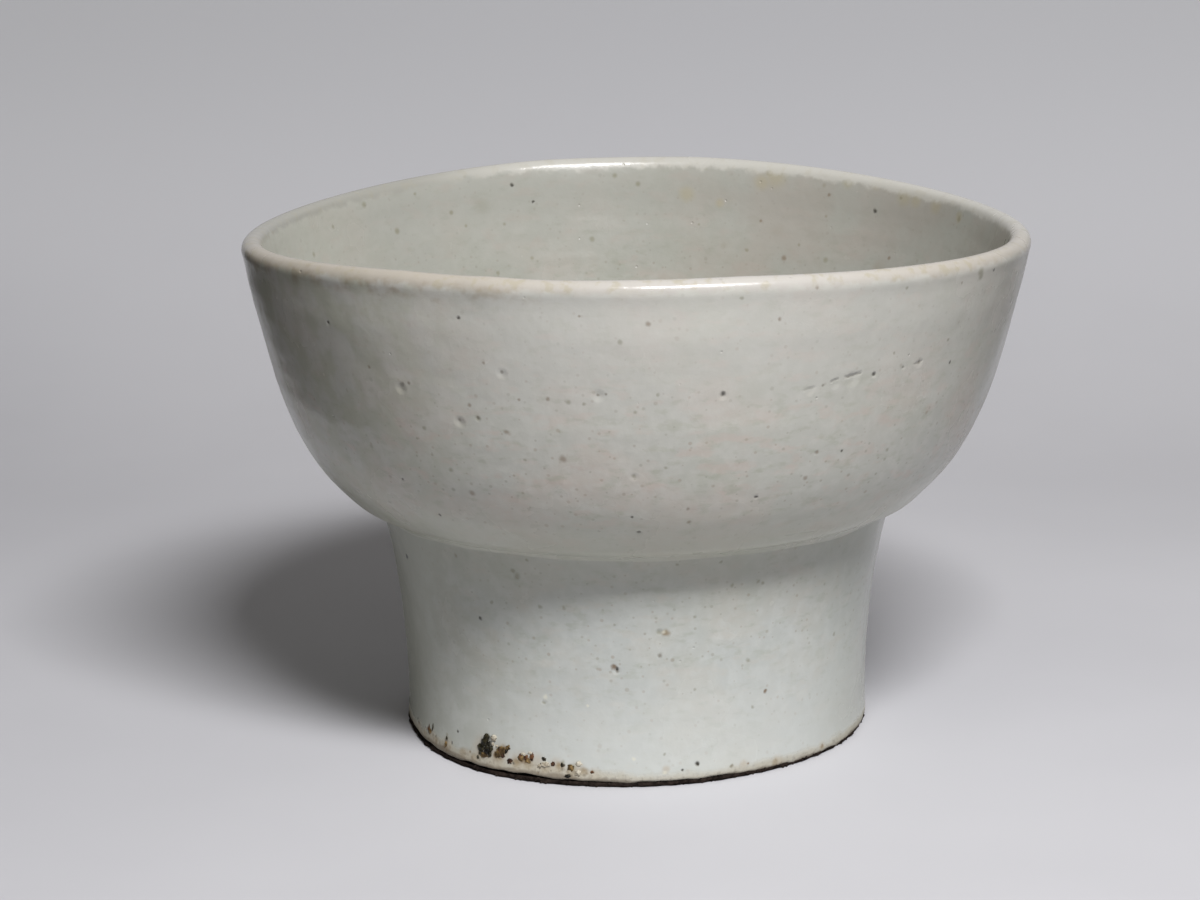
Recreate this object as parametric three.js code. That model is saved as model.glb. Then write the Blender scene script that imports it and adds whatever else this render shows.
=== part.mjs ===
// A footed bowl of white glazed porcelain, with a wide mouth on a tall hollow foot.
// It was thrown in two pieces that were luted together with slip, and it stands on
// the crust of kiln sand that fused to the bare sole of the foot.
// Lengths are millimetres. +Z is up, -Y is the front, and the origin is on the table
// under the middle of the mouth.
import * as THREE from 'three';

// Bowl
const mouthRadius = 75;
const lipHeight = 97.6;
const lipThickness = 4;
const wallThickness = 5.2;
const bellyThickness = 7.5;
const floorThickness = 7;
const ceilingRise = 1.5;
const wellRise = 4;
const wallFlare = 19;
const wallReach = 12.5;
const bellyDraw = 5.8;
const bellyLift = 6;

// Foot
const neckRadius = 49.5;
const neckHeight = 44.4;
const footWall = 6.2;
const neckTaper = 3.8;
const neckDrop = 12;
const waistRadius = 43.9;
const waistHeight = 11.9;
const soleRadius = 45.1;
const soleWidth = 5.2;
const soleEdge = 0.7;
const soleBevel = 1.4;

// Slip seam between bowl and foot, and kiln sand under the sole
const slipThickness = 1.2;
const slipBulge = 0.35;
const slipSqueeze = 1.2;
const sandThickness = 0.9;
const sandInset = 0.7;
const sandRough = 0.45;

// How the firing moved it: the mouth sagged into a saddle, and the foot leans a little
const saddleRise = 1.63;
const saddleTurn = -0.047;
const tiltRise = 0.42;
const tiltTurn = -0.92;
const tripleRise = 0.28;
const tripleTurn = -0.89;
const footLean = 0.98;
const stillBand = 3;

// Facets
const turns = 72;
const wallSteps = 13;
const lipSteps = 6;
const wellSteps = 6;
const footSteps = 8;
const beadSteps = 4;

const seatHeight = neckHeight + slipThickness;
const seatInner = neckRadius - footWall - slipSqueeze;
const floorTop = seatHeight + ceilingRise + floorThickness;

const mix = (a, b, t) => a + (b - a) * t;
const point = (r, z) => new THREE.Vector2(r, z);

// Point k of n on an arc about a centre, from one angle to another
function arcPoints(centre, radius, from, to, n) {
  const points = [];
  for (let k = 0; k <= n; k += 1) {
    const angle = mix(from, to, k / n);
    points.push(point(centre.x + radius * Math.cos(angle), centre.y + radius * Math.sin(angle)));
  }
  return points;
}

// Outside of the bowl: from the round of the lip, square to it, down the flared wall
// and round the belly to the crease at the neck
const flare = THREE.MathUtils.degToRad(wallFlare);
const lipRadius = lipThickness / 2;
const lipCentre = point(mouthRadius - lipRadius, lipHeight - lipRadius);
const wallTop = point(
  lipCentre.x + lipRadius * Math.cos(flare),
  lipCentre.y - lipRadius * Math.sin(flare),
);
const outside = new THREE.CubicBezierCurve(
  wallTop,
  point(wallTop.x - wallReach * Math.sin(flare), wallTop.y - wallReach * Math.cos(flare)),
  point(mouthRadius - bellyDraw, neckHeight + bellyLift),
  point(neckRadius, neckHeight),
);

// Where a falling outline passes a height, as a parameter from 0 to 1
function parameterAt(outline, height) {
  let low = 0;
  let high = 1;
  for (let k = 0; k < 40; k += 1) {
    const middle = (low + high) / 2;
    if (outline(middle).y > height) low = middle;
    else high = middle;
  }
  return (low + high) / 2;
}

const seatParameter = parameterAt((t) => outside.getPoint(t), seatHeight);
const seatOuter = outside.getPoint(seatParameter).x;

// Inside face at a parameter of the outside: set in square to it by the wall there
function insidePoint(t) {
  const tangent = outside.getTangent(t);
  const wall = t < 0.5
    ? mix(lipThickness, wallThickness, t / 0.5)
    : mix(wallThickness, bellyThickness, (t - 0.5) / 0.5);
  const outer = outside.getPoint(t);
  return point(outer.x + tangent.y * wall, outer.y - tangent.x * wall);
}

function bowlProfile() {
  const profile = [];
  // Ceiling of the hollow foot, a shallow dome inside the flat seat
  for (let k = 0; k < wellSteps; k += 1) {
    const r = seatInner * k / wellSteps;
    const dome = Math.cos((k / wellSteps) * Math.PI / 2);
    profile.push(point(r, seatHeight + ceilingRise * dome));
  }
  profile.push(point(seatInner, seatHeight));
  for (let k = 0; k <= wallSteps; k += 1) {
    profile.push(outside.getPoint(seatParameter * (1 - k / wallSteps)));
  }
  // Rounded lip, from the outside of the mouth over the crest to the inside
  profile.push(...arcPoints(lipCentre, lipRadius, -flare, Math.PI - flare, lipSteps).slice(1, -1));
  const turnParameter = parameterAt(insidePoint, floorTop + wellRise);
  for (let k = 0; k <= wallSteps; k += 1) {
    profile.push(insidePoint(turnParameter * k / wallSteps));
  }
  // Well, running on smoothly from the wall to the middle of the floor
  const last = insidePoint(turnParameter);
  const before = insidePoint(turnParameter - 0.02);
  const run = (before.x - last.x) / (before.y - last.y);
  const well = new THREE.CubicBezierCurve(
    last,
    point(last.x - run * wellRise * 0.7, last.y - wellRise * 0.7),
    point(last.x * 0.45, floorTop),
    point(0, floorTop),
  );
  for (let k = 1; k <= wellSteps; k += 1) {
    profile.push(well.getPoint(k / wellSteps));
  }
  return profile;
}

// Outside of the foot, waisted: it draws in below the neck and spreads at the sole
const footOutside = new THREE.CubicBezierCurve(
  point(neckRadius, neckHeight),
  point(neckRadius - neckTaper, neckHeight - neckDrop),
  point(waistRadius, waistHeight),
  point(soleRadius, sandThickness + soleEdge),
);

function footProfile() {
  const profile = [point(soleRadius - soleEdge, sandThickness)];
  for (let k = 0; k <= footSteps; k += 1) {
    profile.push(footOutside.getPoint(1 - k / footSteps));
  }
  for (let k = 0; k < footSteps; k += 1) {
    const outer = footOutside.getPoint(k / footSteps);
    profile.push(point(outer.x - footWall, outer.y));
  }
  const soleInner = soleRadius - soleEdge - soleWidth;
  profile.push(point(soleInner - soleBevel, sandThickness + soleEdge + soleBevel));
  profile.push(point(soleInner, sandThickness));
  profile.push(profile[0].clone());
  return profile;
}

// Slip: a thin flat ring with the squeezed-out bead at the crease and a small one inside
function slipProfile() {
  const profile = [point(seatInner, seatHeight)];
  const squeeze = slipThickness / 2;
  const innerBead = point(seatInner, neckHeight + squeeze);
  profile.push(...arcPoints(innerBead, squeeze, Math.PI / 2, 3 * Math.PI / 2, beadSteps).slice(1));
  profile.push(point(neckRadius, neckHeight));
  const span = point(seatOuter - neckRadius, slipThickness);
  const length = span.length();
  for (let k = 1; k < beadSteps; k += 1) {
    const along = k / beadSteps;
    const out = slipBulge * Math.sin(along * Math.PI);
    const x = neckRadius + span.x * along + out * span.y / length;
    profile.push(point(x, neckHeight + span.y * along - out * span.x / length));
  }
  profile.push(point(seatOuter, seatHeight));
  profile.push(profile[0].clone());
  return profile;
}

function sandProfile() {
  const outer = soleRadius - sandInset;
  const inner = soleRadius - soleEdge - soleWidth + sandInset;
  return [
    point(inner, 0),
    point(outer, 0),
    point(outer + sandRough, sandThickness / 2),
    point(outer, sandThickness),
    point(inner, sandThickness),
    point(inner - sandRough, sandThickness / 2),
    point(inner, 0),
  ];
}

// Turn a profile about the upright axis, with the seam at the front
function revolve(profile) {
  const geometry = new THREE.LatheGeometry(profile, turns);
  geometry.rotateX(Math.PI / 2);
  return geometry;
}

// Move every vertex of a geometry by a rule on its angle from the front and its place
function reshape(geometry, rule) {
  const position = geometry.getAttribute('position');
  const place = new THREE.Vector3();
  for (let k = 0; k < position.count; k += 1) {
    place.fromBufferAttribute(position, k);
    rule(place, Math.atan2(place.x, -place.y));
    position.setXYZ(k, place.x, place.y, place.z);
  }
  geometry.computeVertexNormals();
  return geometry;
}

// The saddle and the small tilts of the mouth, fading out down the wall
function sag(place, angle) {
  const start = seatHeight + stillBand;
  const share = Math.max(0, (place.z - start) / (lipHeight - start));
  const rise = saddleRise * Math.cos(2 * (angle - saddleTurn))
    + tiltRise * Math.cos(angle - tiltTurn)
    + tripleRise * Math.cos(3 * (angle - tripleTurn));
  place.z += share * share * rise;
}

// The foot stands a little to the left under the mouth
function lean(place) {
  place.x += footLean * (place.z / lipHeight - 1);
}

// Uneven edge of the sand crust, a few long waves and a short one
function fray(place, angle) {
  const radius = Math.hypot(place.x, place.y);
  const wave = Math.sin(3 * angle + 0.6) + 0.7 * Math.sin(7 * angle) + 0.6 * Math.sin(17 * angle + 2);
  const scale = 1 + (sandRough * wave / 2.3) / radius;
  place.x *= scale;
  place.y *= scale;
}

function piece(name, geometry, look) {
  const mesh = new THREE.Mesh(reshape(geometry, lean), new THREE.MeshStandardMaterial(look));
  mesh.name = name;
  return mesh;
}

const bowl = new THREE.Group();
bowl.add(piece('bowl', reshape(revolve(bowlProfile()), sag), { color: 0xc9c6bd, roughness: 0.24, metalness: 0 }));
bowl.add(piece('foot_ring', revolve(footProfile()), { color: 0xcfd2cd, roughness: 0.24, metalness: 0 }));
bowl.add(piece('luting_slip', revolve(slipProfile()), { color: 0xc6c3b6, roughness: 0.35, metalness: 0 }));
bowl.add(piece('kiln_sand', reshape(revolve(sandProfile()), fray), { color: 0x5a5044, roughness: 0.95, metalness: 0 }));

export default bowl;
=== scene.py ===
import math

import bmesh
import bpy
import numpy as np
from mathutils import Matrix, Quaternion, Vector, noise as noiseLib
from mathutils.bvhtree import BVHTree


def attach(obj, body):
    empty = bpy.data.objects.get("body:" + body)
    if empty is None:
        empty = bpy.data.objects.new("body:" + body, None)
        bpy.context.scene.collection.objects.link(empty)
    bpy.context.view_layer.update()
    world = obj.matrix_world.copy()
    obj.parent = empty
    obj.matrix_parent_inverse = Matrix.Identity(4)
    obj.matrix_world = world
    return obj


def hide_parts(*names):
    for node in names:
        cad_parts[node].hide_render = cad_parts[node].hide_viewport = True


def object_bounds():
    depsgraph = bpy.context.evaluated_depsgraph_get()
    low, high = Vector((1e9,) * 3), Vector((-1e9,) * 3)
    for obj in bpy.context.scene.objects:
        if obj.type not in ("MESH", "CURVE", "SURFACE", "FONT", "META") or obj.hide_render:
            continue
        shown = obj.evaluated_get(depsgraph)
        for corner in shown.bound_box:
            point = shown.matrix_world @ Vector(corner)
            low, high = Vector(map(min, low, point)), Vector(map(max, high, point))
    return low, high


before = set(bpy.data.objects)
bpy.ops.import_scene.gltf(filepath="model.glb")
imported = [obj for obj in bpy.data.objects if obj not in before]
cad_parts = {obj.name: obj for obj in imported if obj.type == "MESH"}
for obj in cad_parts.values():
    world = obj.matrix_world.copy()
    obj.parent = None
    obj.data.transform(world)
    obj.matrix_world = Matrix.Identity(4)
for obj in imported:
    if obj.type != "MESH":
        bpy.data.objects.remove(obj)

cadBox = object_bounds()
mm = 0.001
upward = Vector((0, 0, 1))

# The photograph's camera, worked out from the mouth, the sole and the crease
photo = {
    "width": 1200, "height": 900, "focalPixels": 3297.6, "sensor": 36, "nearest": 10 * mm,
    "distance": 620 * mm, "eyeHeight": 199.05 * mm,
    "pitchDown": 0.2318, "turn": -0.0119, "roll": 0.0148,
}

# How the whole pot sagged and leaned in the kiln, as in the part: the waves round the mouth, with their rise
# and turn
firing = {
    "Saddle": (2, 1.63 * mm, -0.047), "Tilt": (1, 0.42 * mm, -0.92), "Triple": (3, 0.28 * mm, -0.89),
    "footLean": 0.98 * mm, "lipHeight": 97.6 * mm, "stillHeight": 48.6 * mm,
}
waveNames = ("Saddle", "Tilt", "Triple")


# Small helpers for node trees. A socket knows which tree it is in
def isSocket(value):
    return isinstance(value, bpy.types.NodeSocket)


def plug(node, key, value):
    if isSocket(value):
        node.id_data.links.new(value, node.inputs[key])
    else:
        node.inputs[key].default_value = value


def addNode(tree, kind, settings=None, **inputs):
    node = tree.nodes.new(kind)
    for name, value in (settings or {}).items():
        setattr(node, name, value)
    for name, value in inputs.items():
        plug(node, name.replace("_", " "), value)
    return node


def addBeside(values, kind, settings, **inputs):
    tree = next(value.id_data for value in (*values, *inputs.values()) if isSocket(value))
    node = addNode(tree, kind, settings, **inputs)
    for index, value in enumerate(values):
        plug(node, index, value)
    return node.outputs


def calc(operation, *values, clamp=False):
    return addBeside(values, "ShaderNodeMath", {"operation": operation, "use_clamp": clamp})[0]


def times(first, *others):
    for other in others:
        first = calc("MULTIPLY", first, other)
    return first


def vectorCalc(operation, *values, out="Vector", **inputs):
    return addBeside(values, "ShaderNodeVectorMath", {"operation": operation}, **inputs)[out]


def mixColour(share, a, b, blend="MIX"):
    settings = {"data_type": "RGBA", "blend_type": blend, "clamp_factor": True}
    tree = next(value.id_data for value in (share, a, b) if isSocket(value))
    node = addNode(tree, "ShaderNodeMix", settings)
    for index, value in ((0, share), (6, a), (7, b)):
        plug(node, index, value)
    return node.outputs[2]


def ramp(value, low, high, toLow=0.0, toHigh=1.0):
    limits = {"From Min": low, "From Max": high, "To Min": toLow, "To Max": toHigh}
    return addNode(value.id_data, "ShaderNodeMapRange", {"interpolation_type": "SMOOTHSTEP"}, Value=value,
                   **limits).outputs["Result"]


# A ramp between two places in millimetres
def fade(value, limits):
    start, end, *strengths = limits
    return ramp(value, start * mm, end * mm, *strengths)


def noiseAt(where, scale, detail, out=0, **inputs):
    return addNode(where.id_data, "ShaderNodeTexNoise", Vector=where, Scale=scale, Detail=detail,
                   **inputs).outputs[out]


def split(vector):
    return addNode(vector.id_data, "ShaderNodeSeparateXYZ", Vector=vector).outputs


# A group's inputs, each with its value, or with its kind of socket where it has none
def startGroup(kind, name, inputs, outputs):
    tree = bpy.data.node_groups.new(name, kind)
    for label, value in inputs.items():
        socketType = {float: "Float", int: "Int"}.get(type(value), value)
        socket = tree.interface.new_socket(label, in_out="INPUT", socket_type="NodeSocket" + socketType)
        if socketType != value:
            socket.default_value = value
    for label, socketType in outputs.items():
        tree.interface.new_socket(label, in_out="OUTPUT", socket_type="NodeSocket" + socketType)
    return tree, tree.nodes.new("NodeGroupInput").outputs, tree.nodes.new("NodeGroupOutput").inputs


def colour(red, green, blue):
    return (red, green, blue, 1.0)


def addObject(name, data):
    thing = bpy.data.objects.new(name, data)
    bpy.context.scene.collection.objects.link(thing)
    return thing


def addMesh(name, points, edges, faces, smooth=()):
    mesh = bpy.data.meshes.new(name)
    mesh.from_pydata(points, edges, faces)
    if smooth:
        mesh.polygons.foreach_set("use_smooth", smooth)
    return addObject(name, mesh)


# Camera
def buildCamera():
    turn, pitch, roll = photo["turn"], photo["pitchDown"], photo["roll"]
    forward = Vector((math.sin(turn) * math.cos(pitch), math.cos(turn) * math.cos(pitch), -math.sin(pitch)))
    right = Vector((math.cos(turn), -math.sin(turn), 0))
    up = right.cross(forward)
    right, up = right * math.cos(roll) - up * math.sin(roll), right * math.sin(roll) + up * math.cos(roll)
    data = bpy.data.cameras.new("camera")
    data.sensor_width = photo["sensor"]
    data.lens = photo["focalPixels"] / photo["width"] * photo["sensor"]
    data.clip_start = photo["nearest"]
    camera = addObject("camera", data)
    camera.location = (0, -photo["distance"], photo["eyeHeight"])
    camera.rotation_euler = Matrix([right, up, -forward]).transposed().to_euler()
    bpy.context.scene.camera = camera
    return camera.location.copy(), right, up, forward


eye, eyeRight, eyeUp, eyeForward = buildCamera()
print("camera placed")


# Profiles, in the part's sizes: radius and height, outside going up
def arc(centre, radius, start, end, count):
    angles = np.linspace(start, end, count + 1)
    return [(centre[0] + radius * math.cos(a), centre[1] + radius * math.sin(a)) for a in angles]


def bezier(points, t):
    p = [np.array(point, float) for point in points]
    s = 1 - t
    place = s ** 3 * p[0] + 3 * s * s * t * p[1] + 3 * s * t * t * p[2] + t ** 3 * p[3]
    along = 3 * s * s * (p[1] - p[0]) + 6 * s * t * (p[2] - p[1]) + 3 * t * t * (p[3] - p[2])
    return place, along / np.linalg.norm(along)


def findHeight(outline, height):
    low, high = 0.0, 1.0
    for _ in range(40):
        middle = (low + high) / 2
        if outline(middle)[1] > height:
            low = middle
        else:
            high = middle
    return (low + high) / 2


bowlShape = {
    "mouthRadius": 75, "lipHeight": 97.6, "lipThickness": 4, "wallThickness": 5.2, "bellyThickness": 7.5,
    "floorThickness": 7, "ceilingRise": 1.5, "wellRise": 4, "wallFlare": math.radians(19), "wallReach": 12.5,
    "bellyDraw": 5.8, "bellyLift": 6, "turns": 384, "wallRows": 68, "lipRows": 12, "wellRows": 40,
}
footShape = {
    "neckRadius": 49.5, "neckHeight": 44.4, "footWall": 6.2, "neckTaper": 3.8, "neckDrop": 12,
    "waistRadius": 43.9, "waistHeight": 11.9, "soleRadius": 45.1, "soleWidth": 5.2, "soleEdge": 0.7,
    "soleBevel": 1.4, "turns": 320, "rows": 64, "edgeRows": 5,
}
slipShape = {"thickness": 1.2, "squeeze": 1.2}
sandShape = {"thickness": 0.9, "inset": 0.7, "rough": 0.45, "turns": 320, "rows": 6}
seatHeight = footShape["neckHeight"] + slipShape["thickness"]
seatInner = footShape["neckRadius"] - footShape["footWall"] - slipShape["squeeze"]


def bowlOutside():
    s = bowlShape
    half = s["lipThickness"] / 2
    centre = (s["mouthRadius"] - half, s["lipHeight"] - half)
    sine, cosine = math.sin(s["wallFlare"]), math.cos(s["wallFlare"])
    top = (centre[0] + half * cosine, centre[1] - half * sine)
    handle = (top[0] - s["wallReach"] * sine, top[1] - s["wallReach"] * cosine)
    belly = (s["mouthRadius"] - s["bellyDraw"], footShape["neckHeight"] + s["bellyLift"])
    return centre, [top, handle, belly, (footShape["neckRadius"], footShape["neckHeight"])]


def bowlProfile():
    s = bowlShape
    centre, outside = bowlOutside()
    floorTop = seatHeight + s["ceilingRise"] + s["floorThickness"]
    seat = findHeight(lambda t: bezier(outside, t)[0], seatHeight)

    def inside(t):
        place, along = bezier(outside, t)
        stations = (0, 0.5, 1)
        wall = np.interp(t, stations, (s["lipThickness"], s["wallThickness"], s["bellyThickness"]))
        return np.array((place[0] + along[1] * wall, place[1] - along[0] * wall))

    rows = []
    for k in range(s["wellRows"] // 2):
        share = k / (s["wellRows"] // 2)
        rows.append((seatInner * share, seatHeight + s["ceilingRise"] * math.cos(share * math.pi / 2)))
    rows.append((seatInner, seatHeight))
    rows += [tuple(bezier(outside, seat * (1 - k / s["wallRows"]))[0]) for k in range(s["wallRows"] + 1)]
    flare = s["wallFlare"]
    rows += arc(centre, s["lipThickness"] / 2, -flare, math.pi - flare, s["lipRows"])[1:-1]
    turn = findHeight(inside, floorTop + s["wellRise"])
    rows += [tuple(inside(turn * k / s["wallRows"])) for k in range(s["wallRows"] + 1)]
    last, before = inside(turn), inside(turn - 0.02)
    run = (before[0] - last[0]) / (before[1] - last[1])
    drop = s["wellRise"] * 0.7
    well = [last, (last[0] - run * drop, last[1] - drop), (last[0] * 0.45, floorTop), (0, floorTop)]
    rows += [tuple(bezier(well, k / s["wellRows"])[0]) for k in range(1, s["wellRows"] + 1)]
    return rows


def footProfile():
    s = footShape
    sole = sandShape["thickness"]
    outside = [
        (s["neckRadius"], s["neckHeight"]), (s["neckRadius"] - s["neckTaper"], s["neckHeight"] - s["neckDrop"]),
        (s["waistRadius"], s["waistHeight"]), (s["soleRadius"], sole + s["soleEdge"]),
    ]
    edge = (s["soleRadius"] - s["soleEdge"], sole + s["soleEdge"])
    rows = arc(edge, s["soleEdge"], -math.pi / 2, 0, s["edgeRows"])
    rows += [tuple(bezier(outside, 1 - k / s["rows"])[0]) for k in range(1, s["rows"] + 1)]
    for k in range(s["rows"]):
        place = bezier(outside, k / s["rows"])[0]
        rows.append((place[0] - s["footWall"], place[1]))
    inner = s["soleRadius"] - s["soleEdge"] - s["soleWidth"]
    rows.append((inner - s["soleBevel"], sole + s["soleEdge"] + s["soleBevel"]))
    rows += [(inner, sole), (inner + s["soleWidth"] / 3, sole), (inner + s["soleWidth"] * 2 / 3, sole), rows[0]]
    return rows


def sandProfile():
    s = footShape
    outer = s["soleRadius"] - sandShape["inset"]
    inner = s["soleRadius"] - s["soleEdge"] - s["soleWidth"] + sandShape["inset"]
    half = sandShape["thickness"] / 2
    rows = [(inner + (outer - inner) * k / sandShape["rows"], 0) for k in range(sandShape["rows"] + 1)]
    rows += [(outer + sandShape["rough"] * math.cos(a), half + half * math.sin(a)) for a in (-0.8, 0, 0.8)]
    rows += [(outer - (outer - inner) * k / sandShape["rows"], 2 * half) for k in range(sandShape["rows"] + 1)]
    rows += [(inner - sandShape["rough"] * math.cos(a), half - half * math.sin(a)) for a in (-0.8, 0, 0.8)]
    return rows + [rows[0]]


# Throwing marks run round the pot, and the broad unevenness lies anyhow. Neither reaches the lip
handwork = {"markStretch": (9.0, 9.0, 260.0), "markDetail": 2.0, "broadScale": 38.0, "lipClear": (2, 12)}


# The next step that a geometry goes through
def step(geometry, kind, settings=None, **inputs):
    return addNode(geometry.id_data, "GeometryNode" + kind, settings, Geometry=geometry, **inputs).outputs[0]


def dressResult(tree, result, geometry, material):
    dressed = step(step(geometry, "RealizeInstances"), "SetMaterial", Material=material)
    tree.links.new(dressed, result["Geometry"])
    return tree


# Geometry nodes: a profile turned on the wheel, then sagged, leaned and left a little uneven by hand
def wheelTree():
    inputs = {
        "Geometry": "Geometry", "Turns": 320, "Still Height": 0.05, "Lip Height": 0.1, "Foot Lean": 0.0,
        "Throw Marks": 0.0, "Unevenness": 0.0, "Inset": 0.0, "Material": "Material",
        **{wave + part: 0.0 for wave in waveNames for part in (" Rise", " Turn")},
    }
    tree, given, result = startGroup("GeometryNodeTree", "wheelThrown", inputs, {"Geometry": "Geometry"})
    rows = step(given["Geometry"], "AttributeDomainSize", {"component": "MESH"})
    sheet = addNode(tree, "GeometryNodeMeshGrid", Size_X=1.0, Size_Y=1.0, Vertices_Y=rows,
                    Vertices_X=calc("ADD", given["Turns"], 1.0))
    here = addNode(tree, "GeometryNodeInputPosition").outputs[0]
    spot = split(here)
    along = calc("ADD", spot["Y"], 0.5)
    onWheel = split(step(given["Geometry"], "SampleIndex", {"data_type": "FLOAT_VECTOR", "domain": "POINT"},
                         Value=here, Index=calc("ROUND", times(along, calc("SUBTRACT", rows, 1.0)))))
    radius, height = onWheel["X"], onWheel["Z"]
    angle = times(calc("ADD", spot["X"], 0.5), math.tau)
    share = calc("DIVIDE", calc("SUBTRACT", height, given["Still Height"]),
                 calc("SUBTRACT", given["Lip Height"], given["Still Height"]))
    share = calc("POWER", calc("MAXIMUM", share, 0.0), 2.0)
    rise = 0.0
    for name in waveNames:
        turned = times(calc("SUBTRACT", angle, given[name + " Turn"]), float(firing[name][0]))
        rise = calc("ADD", times(calc("COSINE", turned), given[name + " Rise"]), rise)
    z = calc("MULTIPLY_ADD", share, rise, height)
    lean = times(given["Foot Lean"], calc("SUBTRACT", calc("DIVIDE", z, given["Lip Height"]), 1.0))
    x = calc("MULTIPLY_ADD", radius, calc("SINE", angle), lean)
    y = times(radius, calc("COSINE", angle), -1.0)
    place = addNode(tree, "ShaderNodeCombineXYZ", X=x, Y=y, Z=z).outputs[0]
    # The height on the wheel and the way along the profile are kept for the glaze, which sags with the lip
    pot = sheet.outputs["Mesh"]
    for name, value in (("wheelHeight", height), ("alongProfile", along)):
        pot = step(pot, "StoreNamedAttribute", {"data_type": "FLOAT", "domain": "POINT"}, Name=name, Value=value)
    pot = step(step(pot, "SetPosition", Position=place), "MergeByDistance", Distance=0.01 * mm)
    marks = noiseAt(vectorCalc("MULTIPLY", here, handwork["markStretch"]), 1.0, handwork["markDetail"])
    broad = noiseAt(here, handwork["broadScale"], 1.0)
    push = times(calc("SUBTRACT", marks, 0.5), given["Throw Marks"])
    push = calc("MULTIPLY_ADD", calc("SUBTRACT", broad, 0.5), given["Unevenness"], push)
    push = times(push, fade(calc("SUBTRACT", given["Lip Height"], spot["Z"]), handwork["lipClear"]))
    push = calc("SUBTRACT", push, given["Inset"])
    offset = vectorCalc("SCALE", addNode(tree, "GeometryNodeInputNormal").outputs[0], Scale=push)
    pot = step(step(pot, "SetPosition", Offset=offset), "SetShadeSmooth")
    return dressResult(tree, result, pot, given["Material"])


# A node tree's result as a plain mesh under its own name
def runTree(source, tree, values, name):
    modifier = source.modifiers.new(tree.name, "NODES")
    modifier.node_group = tree
    for item in tree.interface.items_tree:
        if item.item_type == "SOCKET" and item.in_out == "INPUT" and item.name in values:
            modifier[item.identifier] = values[item.name]
    bpy.context.view_layer.update()
    mesh = bpy.data.meshes.new_from_object(source.evaluated_get(bpy.context.evaluated_depsgraph_get()))
    mesh.name = name
    bpy.data.objects.remove(source)
    return addObject(name, mesh)


def throw(name, profile, values):
    points = [(r * mm, 0, z * mm) for r, z in profile]
    source = addMesh(name + "Profile", points, [(k, k + 1) for k in range(len(points) - 1)], [])
    values = {"Foot Lean": firing["footLean"], "Lip Height": firing["lipHeight"], **values}
    return runTree(source, wheel, values, name)


wheel = wheelTree()
sagging = {"Still Height": firing["stillHeight"]}
for waveName in waveNames:
    _, sagging[waveName + " Rise"], sagging[waveName + " Turn"] = firing[waveName]
bowl = throw("thrownBowl", bowlProfile(), {
    **sagging, "Turns": bowlShape["turns"], "Throw Marks": 0.25 * mm, "Unevenness": 0.3 * mm, "Inset": 0.03 * mm,
})
foot = throw("thrownFoot", footProfile(), {
    "Turns": footShape["turns"], "Throw Marks": 0.2 * mm, "Unevenness": 0.3 * mm,
})
sand = throw("sandCrust", sandProfile(), {"Turns": sandShape["turns"]})
print("thrown", [(o.name, len(o.data.polygons)) for o in (bowl, foot, sand)])


# Where a pixel of the photograph falls on a piece, with the surface's outward direction there
def treeOf(piece):
    return BVHTree.FromPolygons([v.co for v in piece.data.vertices], [p.vertices for p in piece.data.polygons])


def placeOf(tree, pixel):
    across = (pixel[0] - photo["width"] / 2) / photo["focalPixels"]
    down = (pixel[1] - photo["height"] / 2) / photo["focalPixels"]
    ray = (eyeForward + eyeRight * across - eyeUp * down).normalized()
    place, normal, _, _ = tree.ray_cast(eye, ray)
    return place, normal


def nearestPiece(pixel):
    onBowl, onFoot = placeOf(bowlTree, pixel), placeOf(footTree, pixel)
    if onBowl[0] is None or (onFoot[0] is not None and (onFoot[0] - eye).length < (onBowl[0] - eye).length):
        return foot, onFoot[0]
    return bowl, onBowl[0]


# Marks that show in the photograph: pixel across, pixel down, radius in millimetres
bowlMarks = {
    "black": [
        (512, 185, .42), (533, 202, .36), (875, 211, .5), (721, 279, .36), (994, 270, .32), (328, 322, .34),
        (458, 318, .4), (403, 479, .26), (440, 515, .32), (632, 517, .3), (639, 532, .42), (723, 394, .48),
        (874, 374, .36), (950, 362, .36), (756, 497, .34), (842, 451, .3),
    ],
    "rust": [
        (784, 258, .6), (889, 258, .42), (829, 195, .42), (761, 221, .36), (648, 324, .5), (780, 319, .38),
        (563, 459, .75), (469, 405, .42), (506, 432, .5), (548, 399, .42), (484, 363, .3), (519, 400, .3),
        (805, 478, .45), (688, 509, .36), (689, 522, .42), (472, 493, .6), (817, 287, .4), (308, 266, .7),
        (817, 452, .4), (944, 196, .5), (279, 367, .34), (579, 316, .28), (369, 367, .34), (962, 283, .28),
    ],
    "olive": [
        (333, 204, .5), (415, 194, .42), (466, 226, .4), (592, 239, .6), (498, 273, .45), (705, 167, .6),
        (959, 219, .65), (747, 250, .4), (799, 245, .36), (981, 272, .9), (981, 276, .8), (478, 418, .55),
        (451, 470, .5), (424, 428, .42), (417, 438, .3), (742, 298, .4), (635, 412, .4), (948, 340, .4),
        (666, 468, .3), (634, 476, .4), (525, 460, .3), (658, 395, .36), (901, 198, .4), (907, 288, .35),
        (620, 342, .5), (568, 402, .5), (584, 404, .35), (894, 353, .3), (887, 450, .4), (333, 227, .4),
    ],
    "stain": [
        (687, 194, 1.7), (776, 176, 2.6), (762, 182, 1.8), (877, 183, 1.4), (959, 217, 1.3), (916, 200, 1.6),
        (905, 196, 2.2), (936, 206, 1.7), (848, 182, 1.4), (720, 203, 1.0),
    ],
    # Dark cores in the pits: painted shade
    "hollowShadeAndDirt": [
        (402, 384, .5), (409, 383, .34), (502, 372, .36), (460, 420, .42), (919, 362, .4), (598, 395, .3),
        (606, 394, .26), (823, 385, .3), (903, 367, .26), (617, 671, .36), (478, 418, .3),
    ],
}
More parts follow.
